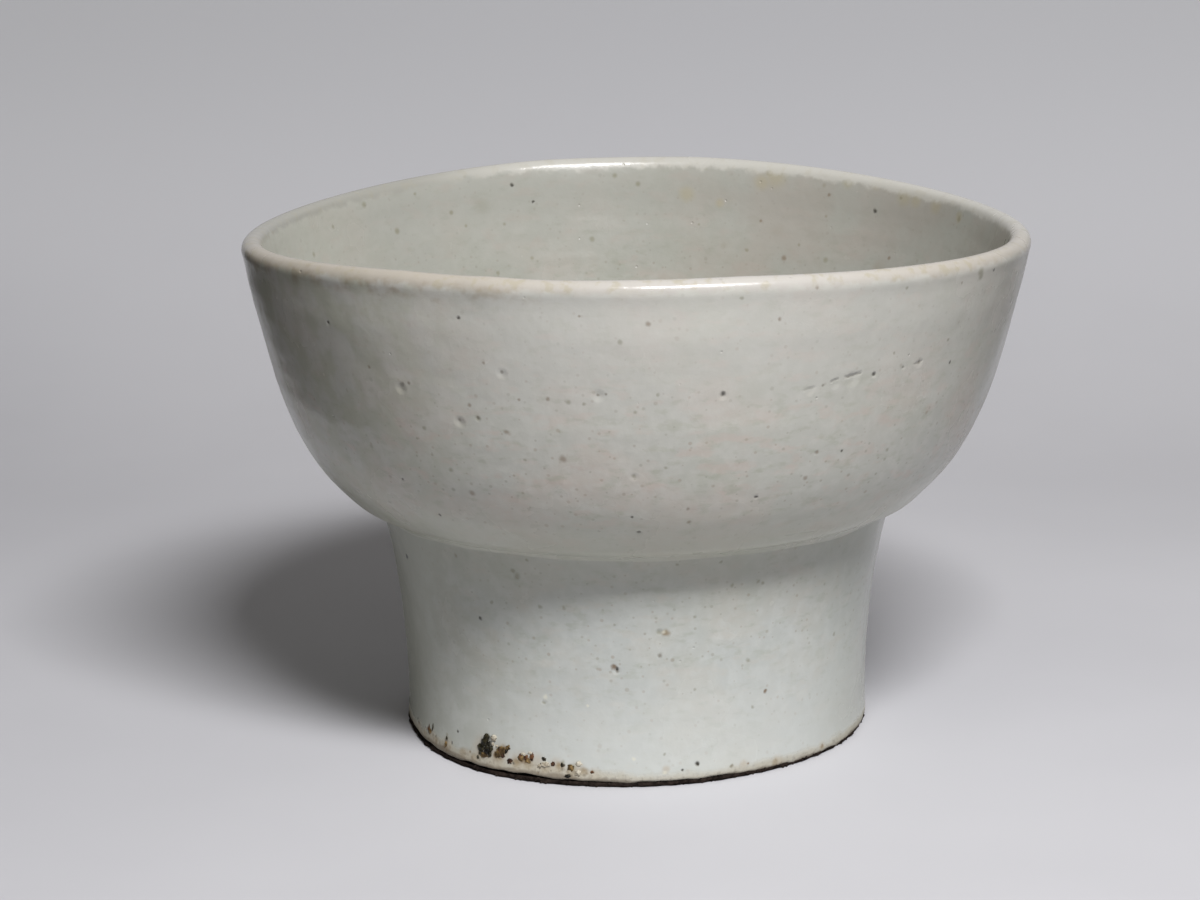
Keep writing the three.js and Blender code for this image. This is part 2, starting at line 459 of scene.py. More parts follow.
footMarks = {
    "beige": [
        (420, 727, 1.4), (432, 738, 1.6), (447, 745, 1.7), (466, 756, 1.5), (482, 748, 2.4), (500, 755, 2.2),
        (520, 762, 2.0), (536, 763, 1.8), (556, 768, 1.8), (577, 772, 1.8), (594, 776, 1.4), (494, 766, 2.2),
        (744, 764, .8), (778, 761, 1.3), (822, 747, 1.0), (666, 769, .8),
    ],
    "black": [
        (617, 669, .34), (697, 764, .42), (682, 770, .34), (458, 731, .3), (419, 722, .3), (422, 728, .3),
        (432, 730, .3), (446, 738, .3), (568, 776, .42), (479, 760, .36), (509, 761, .34), (407, 557, .5),
        (484, 742, .9), (487, 738, .7), (481, 750, .8), (490, 749, .7), (489, 745, .7), (482, 757, .4),
        (490, 756, .35), (506, 751, .3), (499, 753, .3), (526, 758, .26), (521, 757, .24), (532, 757, .3),
        (532, 760, .26), (543, 759, .3), (480, 618, .4), (564, 765, .3), (538, 772, .24), (410, 720, .3),
        (414, 725, .28), (425, 727, .26), (436, 737, .3), (440, 743, .26), (452, 743, .3), (513, 764, .26),
        (551, 771, .24), (562, 770, .28), (571, 776, .3), (584, 776, .26), (418, 718, .3), (433, 735, .32),
    ],
    "ochre": [
        (412, 722, .7), (425, 733, .8), (436, 741, .9), (447, 749, .8), (462, 753, 1.0), (474, 758, 1.0),
        (498, 756, 1.3), (516, 763, 1.2), (528, 765, 1.0), (545, 769, 1.1), (560, 767, .9), (571, 772, 1.0),
        (584, 772, .8), (666, 633, .8), (822, 747, .6), (775, 762, .7), (503, 750, 1.0), (525, 759, .9),
    ],
    # Dark cores: painted shade in the pits, and dark spots
    "hollowShadeAndDirt": [(617, 671, .4), (660, 655, .5), (697, 765, .4), (732, 766, .3), (500, 757, .4), (447, 741, .45)],
    "rust": [
        (765, 691, .4), (776, 762, .5), (500, 751, .8), (505, 749, .6), (496, 755, .6), (522, 760, .55),
        (531, 759, .55), (526, 762, .5), (446, 742, .6), (443, 748, .6), (450, 747, .4), (419, 723, .5),
        (431, 732, .55), (427, 728, .4), (488, 752, 1.0), (480, 754, .7), (511, 761, .4), (553, 764, .35),
        (520, 756, .4), (592, 772, .35), (586, 774, .3), (574, 772, .3), (470, 752, .3), (748, 763, .3),
        (780, 764, .4), (538, 773, .3), (477, 759, .4), (614, 667, .6), (822, 746, .4),
    ],
    "olive": [
        (517, 576, .7), (513, 571, .5), (540, 607, .5), (492, 602, .4), (456, 556, .5), (527, 560, .4),
        (748, 660, .45), (834, 634, .4), (753, 707, .36), (695, 617, .35), (695, 689, .3), (732, 585, .45),
        (758, 582, .4), (763, 583, .4), (677, 565, .35), (721, 562, .35), (659, 632, .6), (544, 702, .35),
        (447, 735, .4), (563, 762, .5), (530, 693, .3), (665, 754, .3), (732, 766, .4), (572, 768, .8),
    ],
    "pale": [
        (664, 632, .4), (546, 697, .45), (665, 773, .36), (634, 759, .42), (545, 764, .7), (541, 765, .5),
        (579, 764, .5), (577, 774, .4), (426, 727, .3), (495, 738, .5), (588, 706, .3), (524, 755, .4),
        (530, 754, .4), (494, 746, .3),
    ],
}
# Pits in the glaze: the same, with a depth in millimetres
pits = [
    (853, 379, 1.9, .2), (835, 384, 1.3, .12), (810, 391, 1.2, .1), (401, 388, 1.5, .2), (502, 374, 1.3, .14),
    (460, 422, 1.4, .2), (599, 396, 1.5, .17), (634, 477, 1.1, .1), (723, 396, 1.1, .13), (874, 375, .9, .1),
    (903, 368, .8, .08), (919, 363, 1.2, .12), (617, 671, 1.0, .14), (660, 632, .9, .12), (544, 702, .8, .1),
    (697, 764, .8, .12), (403, 479, .8, .08), (639, 533, .9, .1), (756, 497, .7, .07), (478, 419, .7, .07),
    (816, 453, .7, .06), (328, 323, .8, .06),
]
# Short cracks under the glaze: both ends, the width and the depth in millimetres
cracks = [
    (804, 390, 815, 387, .5, .05), (831, 382, 838, 379, .5, .08), (846, 377, 861, 373, .6, .12),
    (915, 364, 922, 360, .5, .06), (786, 536, 795, 534, .5, .05), (800, 533, 814, 531, .5, .05),
]
# The cracks' dark core is painted shade
crackShade = {"edge": (0.26 * mm, 0.04 * mm), "full": 0.12, "strength": 0.45}
chipRing = {"pixel": (876, 551), "radius": 0.62 * mm, "width": 0.22 * mm, "squash": 0.55}
# Broad dents and swellings, pressed in the clay before the firing
dents = [
    (432, 274, 4.2, .3), (486, 281, 4.5, -.16), (560, 300, 7, .12), (700, 330, 9, -.1), (880, 330, 8, .12),
]


# A rule moves a piece's points, from their places, directions, angles from the front and radii
def sculpt(piece, rule):
    mesh = piece.data
    places, normals = np.empty(len(mesh.vertices) * 3), np.empty(len(mesh.vertices) * 3)
    mesh.vertices.foreach_get("co", places)
    mesh.vertex_normals.foreach_get("vector", normals)
    places, normals = places.reshape(-1, 3), normals.reshape(-1, 3)
    angle = np.arctan2(places[:, 0], -places[:, 1])
    moved = rule(places, normals, angle, np.hypot(places[:, 0], places[:, 1]))
    mesh.vertices.foreach_set("co", moved.ravel())
    mesh.update()


# The same waves are used round the pot: each is a number of waves, a height and a shift
def wavesAt(angle, *waves):
    return sum(height * np.sin(count * angle + shift) for count, height, shift in waves)


def pressDents(piece):
    spots = []
    for *pixel, radius, depth in dents:
        owner, place = nearestPiece(pixel)
        if owner is piece and place is not None:
            spots.append((np.array(place), radius * mm, depth * mm))

    def rule(places, normals, angle, radius):
        push = np.zeros(len(places))
        for centre, reach, depth in spots:
            push -= depth * np.exp(-(np.linalg.norm(places - centre, axis=1) / reach) ** 2)
        return places + normals * push[:, None]

    sculpt(piece, rule)


# The seam's slip swells over the foot of the belly, unevenly
seamSwell = {
    "height": 46.8 * mm, "spread": 1.6 * mm, "bulge": 0.46 * mm, "outside": 50 * mm, "blend": 2 * mm,
    "drift": (3, 0.5 * mm, 0.4), "wander": ((2, 0.35, 1), (5, 0.2, 0), (11, 0.12, 2)),
}


def swellBelly(places, normals, angle, radius):
    outside = np.clip((radius - seamSwell["outside"]) / seamSwell["blend"], 0, 1) * (normals[:, 2] < -0.2)
    height = seamSwell["height"] + wavesAt(angle, seamSwell["drift"])
    bump = np.exp(-((places[:, 2] - height) / seamSwell["spread"]) ** 2)
    push = seamSwell["bulge"] * bump * (1 + wavesAt(angle, *seamSwell["wander"])) * outside
    return places + normals * push[:, None]


# The sole's edge lifts a little at the left, and is chipped and worn
soleWear = {
    "lift": 0.42 * mm, "liftAngle": -0.75, "chips": 0.1 * mm, "reach": 2.4 * mm, "solid": 42.5 * mm,
    "rim": 1.5 * mm, "chipWaves": ((23, 1, 0), (41, 0.8, 1), (67, 0.6, 2), (9, 1, 0)),
}
# It is out of round: degrees from the front, how far it stands out and how much lower its edge is, in
# millimetres
soleShape = {
    "turn": (-180, -90, -72, -59, -47, -35, -28, -12, 0, 14, 22, 40, 57, 75, 120, 180),
    "out": (0, -.4, -.4, .65, 1.4, 2.1, 1.9, 1.6, 1.15, .8, .2, 0, -.15, -.4, 0, 0),
    "down": (0, 0, .05, .3, .25, .1, .1, .25, .4, .35, .4, .6, .65, .45, 0, 0),
    "fade": 20 * mm, "soften": 0.07,
}
soleHeight = sandShape["thickness"] * mm


def soleAt(angle, what):
    steps = [angle + side * soleShape["soften"] for side in (-1, 0, 1)]
    return sum(np.interp(step, np.radians(soleShape["turn"]), soleShape[what]) for step in steps) / 3 * mm


def wearSole(places, normals, angle, radius):
    near, low = (np.clip(1 - (places[:, 2] - soleHeight) / reach, 0, 1) ** 2
                 for reach in (soleWear["reach"], soleShape["fade"]))
    lift = soleWear["lift"] * np.cos(angle - soleWear["liftAngle"])
    lift += soleWear["chips"] * wavesAt(angle, *soleWear["chipWaves"])
    rim = np.clip((radius - soleWear["solid"]) / soleWear["rim"], 0, 1)
    places[:, 2] += near * (lift - soleAt(angle, "down")) * rim
    places[:, :2] *= (1 + low * soleAt(angle, "out") / radius)[:, None]
    return places


# The wall stands a little fuller under the lip, and the lip is drawn in and set a little lower or higher, but
# never above the part's own top
lipSet = {
    "full": 0.16 * mm, "at": 87 * mm, "spread": 6 * mm, "drawn": 0.5 * mm, "from": 88 * mm, "lower": 0.14 * mm,
    "raisedBoth": 0.4 * mm, "raisedFront": 0.1 * mm, "below": 0.12 * mm,
}


def drawLipIn(places, normals, angle, radius):
    share = np.clip((places[:, 2] - lipSet["from"]) / (firing["lipHeight"] - lipSet["from"]), 0, 1)
    push = lipSet["full"] * np.exp(-((places[:, 2] - lipSet["at"]) / lipSet["spread"]) ** 2)
    push -= lipSet["drawn"] * share ** 2 * (3 - 2 * share)
    waves = (firing[name] for name in waveNames)
    top = firing["lipHeight"] + sum(rise * np.cos(count * (angle - turn)) for count, rise, turn in waves)
    lift = lipSet["raisedBoth"] * np.cos(angle) ** 2 + lipSet["raisedFront"] * np.cos(angle) - lipSet["lower"]
    places[:, :2] *= (1 + push / np.maximum(radius, mm))[:, None]
    places[:, 2] += np.minimum(lift, cadBox[1][2] - lipSet["below"] - top) * share ** 2
    return places


# The luting slip was smeared by hand into a soft fillet between the belly and the foot. How far it reaches
# down and out is given in front, with what the sides have more
smear = {
    "down": (0.8 * mm, 1.0 * mm), "out": (5.0 * mm, -1.6 * mm), "rows": 16, "sunk": 0.06 * mm, "turns": 384,
    "fullness": 0.3, "wander": ((3, 0.1, 0.5), (7, 0.1, 2), (17, 0.07, 0)), "corner": 0.3 * mm,
    "hidden": 3 * mm, "rounded": 0.4 * mm, "clear": 10 * mm, "reach": 90 * mm,
}


def smearSlip():
    bellyTree, neckTree = treeOf(bowl), treeOf(foot)
    crease, seat, inner = footShape["neckHeight"] * mm, seatHeight * mm, seatInner * mm
    # The hidden faces: over the seat, down the inside and back under it
    hidden = ((inner + smear["hidden"], seat), (inner, seat), (inner - smear["rounded"], (seat + crease) / 2),
              (inner, crease), (inner + smear["hidden"], crease))
    points = []
    for k in range(smear["turns"]):
        angle = k / smear["turns"] * math.tau
        ray = Vector((math.sin(angle), -math.cos(angle), 0))
        wander = 1 + wavesAt(angle, *smear["wander"])
        down, out = (wander * (least + more * ray.x ** 2) for least, more in (smear["down"], smear["out"]))

        def axisAt(z, leanAt):
            return Vector((firing["footLean"] * (leanAt / firing["lipHeight"] - 1), 0, z))

        def onNeck(z):
            return neckTree.ray_cast(axisAt(z, z) + ray * smear["reach"], -ray)[0]

        def onBelly(place):
            return bellyTree.ray_cast(Vector((place.x, place.y, crease - smear["clear"])), upward)[0]

        low = onNeck(crease - down) - ray * smear["sunk"]
        corner = onNeck(crease - smear["corner"])
        high = onBelly(corner + ray * out) + upward * smear["sunk"]
        corner = onBelly(corner).lerp((low + high) / 2, smear["fullness"])
        for j in range(smear["rows"] + 1):
            t = j / smear["rows"]
            points.append(low * (1 - t) ** 2 + corner * (2 * t * (1 - t)) + high * t * t)
        points += [axisAt(z, crease) + ray * radius for radius, z in hidden]
    count = len(points) // smear["turns"]
    faces = []
    for start in range(0, len(points), count):
        after = (start + count) % len(points)
        for j in range(count):
            up = (j + 1) % count
            faces.append((start + j, after + j, after + up, start + up))
    # Only the fillet is smooth, so that its shading doesn't turn into the hidden faces
    return addMesh("slipSeam", points, [], faces, [j < smear["rows"] for j in range(count)] * smear["turns"])


bowlTree, footTree = treeOf(bowl), treeOf(foot)
pressDents(bowl)
pressDents(foot)
sculpt(bowl, swellBelly)
sculpt(bowl, drawLipIn)
sculpt(foot, wearSole)
slip = smearSlip()
bowlTree, footTree = treeOf(bowl), treeOf(foot)
print("surface worked")


# Shader groups
def cloudGroup():
    inputs = {"Vector": "Vector", "Size": 0.02, "Low": 0.4, "High": 0.6, "Shift": 0.0}
    tree, given, result = startGroup("ShaderNodeTree", "clouding", inputs, {"Mask": "Float"})
    moved = vectorCalc("ADD", given["Vector"], given["Shift"])
    noise = noiseAt(moved, calc("DIVIDE", 1.0, given["Size"]), 3.0, Roughness=0.55)
    tree.links.new(ramp(noise, given["Low"], given["High"]), result["Mask"])
    return tree


def speckGroup():
    inputs = {"Vector": "Vector", "Spacing": 0.005, "Size": 0.0003, "Share": 0.5, "Softness": 0.4}
    outputs = {"Mask": "Float", "Tone": "Float"}
    tree, given, result = startGroup("ShaderNodeTree", "ironSpecks", inputs, outputs)
    cells = addNode(tree, "ShaderNodeTexVoronoi", {"feature": "F1"}, Vector=given["Vector"],
                    Scale=calc("DIVIDE", 1.0, given["Spacing"])).outputs
    pick = addNode(tree, "ShaderNodeSeparateColor", Color=cells["Color"]).outputs
    away = times(cells["Distance"], given["Spacing"])
    size = times(given["Size"], calc("MULTIPLY_ADD", pick["Green"], 0.9, 0.35))
    inside = ramp(calc("DIVIDE", away, size), calc("ADD", 1.0, given["Softness"]),
                  calc("SUBTRACT", 1.0, given["Softness"]))
    tree.links.new(times(inside, calc("LESS_THAN", pick["Red"], given["Share"])), result["Mask"])
    tree.links.new(pick["Blue"], result["Tone"])
    return tree


# The glaze's surface: orange peel, slow swells and pinholes, with uneven gloss
skinShape = {
    "peel": (700.0, 2.0), "swell": (190.0, 1.0), "gloss": (60.0, 4.0), "pinScale": 420.0, "pinShare": 0.06,
    "pinEdge": (0.14, 0.03), "pinDepth": 0.6, "peelHeight": 0.25, "swellHeight": 0.75,
}


def skinGroup():
    outputs = {"Height": "Float", "Roughness": "Float"}
    tree, given, result = startGroup("ShaderNodeTree", "glazeSkin", {"Vector": "Vector", "Pitting": 1.0}, outputs)
    where = given["Vector"]
    peel, swell, gloss = (noiseAt(where, *skinShape[name]) for name in ("peel", "swell", "gloss"))
    pins = addNode(tree, "ShaderNodeTexVoronoi", {"feature": "F1"}, Vector=where, Scale=skinShape["pinScale"])
    pick = addNode(tree, "ShaderNodeSeparateColor", Color=pins.outputs["Color"]).outputs["Red"]
    pin = times(ramp(pins.outputs["Distance"], *skinShape["pinEdge"]),
                calc("LESS_THAN", pick, skinShape["pinShare"]))
    height = calc("MULTIPLY_ADD", peel, skinShape["peelHeight"], times(swell, skinShape["swellHeight"]))
    height = calc("SUBTRACT", height, times(pin, given["Pitting"], skinShape["pinDepth"]))
    tree.links.new(height, result["Height"])
    tree.links.new(ramp(gloss, 0.3, 0.7), result["Roughness"])
    return tree


clouding, ironSpecks, glazeSkin = cloudGroup(), speckGroup(), skinGroup()


def useGroup(group, here, **inputs):
    return addNode(here.id_data, "ShaderNodeGroup", {"node_tree": group}, Vector=here, **inputs).outputs


# Clouds over the glaze, from their size, where they start and are full, and their shift
def cloud(here, size, low, high, shift=0.0):
    return useGroup(clouding, here, Size=size, Low=low, High=high, Shift=shift)["Mask"]


def speck(here, spacing, size, share, softness=0.4):
    return useGroup(ironSpecks, here, Spacing=spacing, Size=size, Share=share, Softness=softness)


# Masks of the marks of one colour, one soft dot for each
def markMask(here, spots):
    mask = 0.0
    for *pixel, radius in spots:
        place = nearestPiece(pixel)[1]
        if place is not None:
            away = vectorCalc("DISTANCE", here, place, out="Value")
            mask = calc("MAXIMUM", mask, ramp(away, radius * mm * 1.45, radius * mm * 0.25))
    return mask


def pitRelief(here, owner):
    relief = 0.0
    for *pixel, radius, depth in pits:
        piece, place = nearestPiece(pixel)
        if piece is owner and place is not None:
            away = vectorCalc("DISTANCE", here, place, out="Value")
            relief = calc("ADD", relief, ramp(away, 0.0, radius * mm, -depth, 0.0))
    return relief


# Cracks go by the distance to a short line, sunk in the relief, with a dark core of painted shade
def crackMarks(here):
    relief, hollowShadeAndDirt = 0.0, 0.0
    for x0, y0, x1, y1, width, depth in cracks:
        start, end = placeOf(bowlTree, (x0, y0))[0], placeOf(bowlTree, (x1, y1))[0]
        along = end - start
        offset = vectorCalc("SUBTRACT", here, start)
        share = vectorCalc("DOT_PRODUCT", offset, along / along.length_squared, out="Value")
        nearest = vectorCalc("SCALE", along, Scale=calc("ADD", share, 0.0, clamp=True))
        away = vectorCalc("DISTANCE", offset, nearest, out="Value")
        relief = calc("ADD", relief, ramp(away, 0.0, width * mm, -depth, 0.0))
        hollowShadeAndDirt = calc("MAXIMUM", hollowShadeAndDirt, ramp(away, *crackShade["edge"], 0.0, depth / crackShade["full"]))
    return relief, hollowShadeAndDirt


# A blister's broken rim on the foot's right edge, drawn as a dark ring of painted shade
def ringMark(here):
    place = placeOf(footTree, chipRing["pixel"])[0]
    offset = vectorCalc("MULTIPLY", vectorCalc("SUBTRACT", here, place), (1.0, 1.0, chipRing["squash"]))
    away = calc("SUBTRACT", vectorCalc("LENGTH", offset, out="Value"), chipRing["radius"])
    return ramp(calc("ABSOLUTE", away), chipRing["width"], 0.0)


glazeTones = {
    "bowlCool": colour(.512, .514, .464), "bowlWarm": colour(.553, .508, .449),
    "bowlGreen": colour(.460, .466, .387), "bowlPale": colour(.608, .601, .556),
    "bowlHaze": colour(.400, .411, .328), "bowlBlush": colour(.556, .480, .421),
    "footCool": colour(.500, .521, .494), "footWarm": colour(.521, .518, .466),
    "footGreen": colour(.448, .466, .410), "footPale": colour(.594, .613, .586),
    "footHaze": colour(.410, .430, .369), "footBlush": colour(.518, .507, .456),
    # insideShade is painted shade over the whole inside, and the inside's far-left tone is painted light
    "insideShade": colour(.695, .703, .695), "insideLeft": colour(.81, .82, .80),
    "insidePink": colour(.395, .355, .315), "leftShade": colour(.44, .45, .345),
    "footShade": colour(.35, .36, .295),
    "black": colour(.022, .017, .010), "rust": colour(.17, .105, .05), "olive": colour(.21, .20, .12),
    # The core colour is painted shade in pits, cracks and the blister's rim, and dark spots
    "hollowShadeAndDirt": colour(.17, .15, .11), "stain": colour(.41, .36, .22), "beige": colour(.47, .41, .32),
    "ochre": colour(.25, .17, .075), "pale": colour(.72, .70, .58), "lip": colour(.545, .52, .485),
    "lipLeft": colour(.475, .43, .365), "lipRight": colour(.50, .462, .405), "lipBack": colour(.57, .56, .515),
    "lipBackLeft": colour(.36, .355, .32), "lipWorn": colour(.33, .26, .17), "clay": colour(.43, .39, .30),
    "clayDark": colour(.13, .095, .06), "dot": colour(.23, .235, .17), "dotWarm": colour(.32, .225, .15),
}
# The mottling: a tone, its share, whether it is drawn out sideways, and the clouds it comes in
mottling = (
    ("Green", .6, False, (.024, .46, .68, 3.1)), ("Warm", .75, False, (.017, .46, .66)),
    ("Blush", .62, True, (.006, .52, .68, 2.2)), ("Haze", .55, True, (.0034, .52, .7, 5.3)),
    ("Pale", .42, False, (.0026, .4, .7, 7.7)),
)
# Iron in the clay, a haze of faint dots, some clear ones and a few dark ones: spacing, size, share, strength
ironDots = ((.0014, .00026, .6, .36), (.0028, .00034, .5, .44), (.008, .0004, .4, .42), (.02, .0004, .3, .5))


def startMaterial(name):
    material = bpy.data.materials.new(name)
    material.use_nodes = True
    tree = material.node_tree
    return material, tree.nodes["Principled BSDF"], addNode(tree, "ShaderNodeTexCoord").outputs["Object"]


# The relief is a height in millimetres
def finishSkin(shader, base, rough, relief):
    bump = addNode(shader.id_data, "ShaderNodeBump", Height=relief, Strength=1.0, Distance=mm).outputs[0]
    for name, value in (("Normal", bump), ("Base Color", base), ("Roughness", rough)):
        plug(shader, name, value)


# Both tones are a colour that varies, or the name of a plain one
def tint(base, tone, *shares, blend="MIX"):
    return mixColour(times(*shares), *(glazeTones[name] if isinstance(name, str) else name
                                       for name in (base, tone)), blend)


def glazeBase(here, piece):
    streaked = vectorCalc("MULTIPLY", here, (1.0, 1.0, 2.4))
    base = piece + "Cool"
    for tone, share, drawn, clouds in mottling:
        base = tint(base, piece + tone, cloud(streaked if drawn else here, *clouds), share)
    for spacing, size, share, strength in ironDots:
        dots = speck(here, spacing, size, share)
        base = tint(base, tint("dot", "dotWarm", dots["Tone"]), dots["Mask"], strength)
    return base


def attribute(here, name):
    return addNode(here.id_data, "ShaderNodeAttribute", {"attribute_name": name}).outputs["Fac"]


# A place shaken by fine noise, so that the marks' edges are ragged
def shaken(here, scale, reach):
    noise = noiseAt(here, scale, 2.0, out="Color")
    return vectorCalc("ADD", here, vectorCalc("MULTIPLY_ADD", noise, (reach,) * 3, (-reach / 2,) * 3))


# A height shaken by broader noise, so that the edges along it are ragged
def raggedHeight(here, height, scale, reach):
    noise = noiseAt(here, scale, 4.0, Roughness=0.6)
    return calc("MULTIPLY_ADD", calc("SUBTRACT", noise, 0.5), reach, height)


def paintMarks(base, place, marks, strengths):
    masks = {kind: markMask(place, spots) for kind, spots in marks.items()}
    for kind, strength in strengths.items():
        base = tint(base, kind, masks[kind], strength)
    return base, masks


glazeGloss = {"skinHeight": 0.16, "blackSunk": -0.06, "rough": 0.17, "uneven": 0.12, "slipRough": 0.22}


# The skin's own relief and gloss, with what was worked into it
def skinOf(here, pitting, rough, worked, black=0.0):
    skin = useGroup(glazeSkin, here, Pitting=pitting)
    relief = times(skin["Height"], glazeGloss["skinHeight"])
    if isSocket(black):
        relief = calc("MULTIPLY_ADD", black, glazeGloss["blackSunk"], relief)
    return calc("MULTIPLY_ADD", skin["Roughness"], glazeGloss["uneven"], rough), calc("ADD", relief, worked)


# Where each tone starts and is full along its axis, in millimetres, with its strengths. H is the height on the
# wheel, and on the foot the ragged height of the glaze line
bowlFades = {
    "paleWall": ("H", 62, 90, 0, .6), "greenBelly": ("H", 60, 47, 0, .7), "dusky": ("X", -20, -56, 0, .5),
    "insideLeft": ("X", -48, -70), "insidePink": ("X", 0, 26, 0, .45), "lip": ("H", 95.2, 96.4),
    "lipLeft": ("X", 6, -40), "lipRight": ("X", 20, 60), "lipBackLeft": ("X", -20, -50), "lipFront": ("Y", 10, -30),
    "freckledFront": ("Y", 20, -20, .15, .45), "brownLeft": ("X", 12, -40), "brownFront": ("Y", 0, -30),
    "lineStart": ("H", 93.0, 94.9), "lineEnd": ("H", 97.0, 95.6),
}
bowlClouds = {
    "dusky": (.006, .4, .62, 9.1), "pink": (.016, .36, .6, 4.4), "worn": (.005, .44, .62, 1.3),
    "freckled": (.0022, .5, .68, 6.1),
}
bowlWear = {
    "markEdges": (900.0, .5 * mm), "crackEdges": (1100.0, .6 * mm), "lipEdge": (300.0, 3.4 * mm),
    "inside": (.45, .475), "lipShare": .85, "lineShare": .5,
}
insideDots = ((.0055, .00055, .5, .7, .55), (.009, .0013, .45, .85, .22))
bowlStrengths = {"stain": .4, "olive": .48, "hollowShadeAndDirt": .6, "rust": .52, "black": .8}
footFades = {
    "paleLow": ("Z", 26, 8, 0, .55), "seam": ("Z", 29, 43, 0, .65), "duskyHigh": ("Z", 2, 30, .85, 1.15),
    "duskyLeft": ("X", -14, -40), "edgeLeft": ("X", -33, -44, 0, .95), "edgeRight": ("X", 27, 45, 0, .5),
    "bareEnds": ("X", -22, 12, -0.0005, 0.0007), "bare": ("H", 3.6, 1.9), "edge": ("H", 1.9, 1.3),
}
footWear = {
    "markEdges": (800.0, .8 * mm), "glazeLine": (210.0, -2.6 * mm), "dusky": (.0045, .36, .62, 9.1),
    "mottleAndShadeShare": (.3, .3), "ringShare": .6, "grit": (1500.0, 2.0), "gritShade": (.5, .72, 0.0, .5),
    "bareShare": .7, "edgeShare": .6, "bareRough": .8, "bareRelief": .12, "pitting": .8,
}
footStrengths = {"beige": .6, "ochre": .74, "olive": .5, "pale": .65, "rust": .85, "hollowShadeAndDirt": .7, "black": .92}


def fadesOf(axes, table):
    def at(name):
        axis, *limits = table[name]
        return fade(axes[axis], limits)

    return at


def bowlGlaze():
    material, shader, here = startMaterial("bowlGlaze")
    spot = split(here)
    axes = {"X": spot["X"], "Y": spot["Y"], "H": attribute(here, "wheelHeight")}
    at = fadesOf(axes, bowlFades)
    # The glaze is thin and pale up the wall, and thicker and greener low down
    base = tint(glazeBase(here, "bowl"), "bowlPale", at("paleWall"))
    base = tint(base, "bowlGreen", at("greenBelly"))
    inner = ramp(attribute(here, "alongProfile"), *bowlWear["inside"])
    # Clouds darken the outside towards the left: partly mottling, partly painted shade on the side away from the
    # light
    dusky = times(cloud(here, *bowlClouds["dusky"]), at("dusky"))
    base = tint(base, "leftShade", dusky, calc("SUBTRACT", 1.0, inner))
    # Inside, the glaze is darkened all over as painted shade, and less at the far left as painted light
    base = tint(base, tint("insideShade", "insideLeft", at("insideLeft")), inner, blend="MULTIPLY")
    for spacing, size, share, softness, strength in insideDots:
        base = tint(base, "olive", speck(here, spacing, size, share, softness)["Mask"], inner, strength)
    base = tint(base, "insidePink", cloud(here, *bowlClouds["pink"]), inner, at("insidePink"))
    base, masks = paintMarks(base, shaken(here, *bowlWear["markEdges"]), bowlMarks, bowlStrengths)
    cracked, hollowShadeAndDirt = crackMarks(shaken(here, *bowlWear["crackEdges"]))
    # The cracks' dark cores: painted shade
    base = tint(base, "hollowShadeAndDirt", hollowShadeAndDirt, crackShade["strength"])
    # The lip is worn in front, browner at the left, and keeps its glaze at the back
    axes["H"] = raggedHeight(here, axes["H"], *bowlWear["lipEdge"])
    worn = tint(tint("lip", "lipLeft", at("lipLeft")), "lipRight", at("lipRight"))
    worn = tint(tint("lipBack", "lipBackLeft", at("lipBackLeft")), worn, at("lipFront"))
    worn = tint(worn, "stain", cloud(here, *bowlClouds["freckled"]), at("freckledFront"))
    base = tint(base, worn, at("lip"), bowlWear["lipShare"])
    brown = times(cloud(here, *bowlClouds["worn"]), at("brownLeft"), at("brownFront"))
    base = tint(base, "lipWorn", brown, at("lineStart"), at("lineEnd"), bowlWear["lineShare"])
    worked = calc("ADD", pitRelief(here, bowl), cracked)
    finishSkin(shader, base, *skinOf(here, 1.0, glazeGloss["rough"], worked, masks["black"]))
    return material


# The belly's own tone at the seam, which the slip and the top of the foot share
def seamTone(here):
    return mixColour(0.6, glazeBase(here, "bowl"), glazeTones["bowlGreen"])


def footGlaze():
    material, shader, here = startMaterial("footGlaze")
    spot = split(here)
    axes = {"X": spot["X"], "Z": spot["Z"]}
    at = fadesOf(axes, footFades)
    # Paler low down, towards the seam like the belly, and darker in clouds at the left, more so higher up: partly
    # mottling, partly painted shade
    base = tint(glazeBase(here, "foot"), "footPale", at("paleLow"))
    base = tint(base, seamTone(here), at("seam"))
    dusky = calc("MULTIPLY_ADD", cloud(here, *footWear["dusky"]), *footWear["mottleAndShadeShare"])
    base = tint(base, "footShade", dusky, at("duskyHigh"), at("duskyLeft"))
    # Painted shade darkens the foot's left edge, and its right edge in the haze tone
    base = tint(base, "footShade", at("edgeLeft"))
    base = tint(base, "footHaze", at("edgeRight"))
    base, masks = paintMarks(base, shaken(here, *footWear["markEdges"]), footMarks, footStrengths)
    # The blister's rim: a ring of painted shade
    base = tint(base, "hollowShadeAndDirt", ringMark(here), footWear["ringShare"])
    # Below the glaze line the clay is bare, beige and gritty, in a broader band at the left
    axes["H"] = calc("ADD", raggedHeight(here, spot["Z"], *footWear["glazeLine"]), at("bareEnds"))
    bare, grains = at("bare"), noiseAt(here, *footWear["grit"])
    clay = tint("clay", "clayDark", ramp(grains, *footWear["gritShade"]))
    base = tint(base, clay, bare, footWear["bareShare"])
    base = tint(base, "clayDark", at("edge"), footWear["edgeShare"])
    worked = calc("MULTIPLY_ADD", bare, times(grains, footWear["bareRelief"]), pitRelief(here, foot))
    rough, relief = skinOf(here, footWear["pitting"], glazeGloss["rough"], worked, masks["black"])
    finishSkin(shader, base, calc("MAXIMUM", rough, times(bare, footWear["bareRough"])), relief)
    return material


slipWear = {"wrinkles": (80.0, 80.0, 700.0), "folds": (.46, .36), "foldShare": .35, "relief": .12}


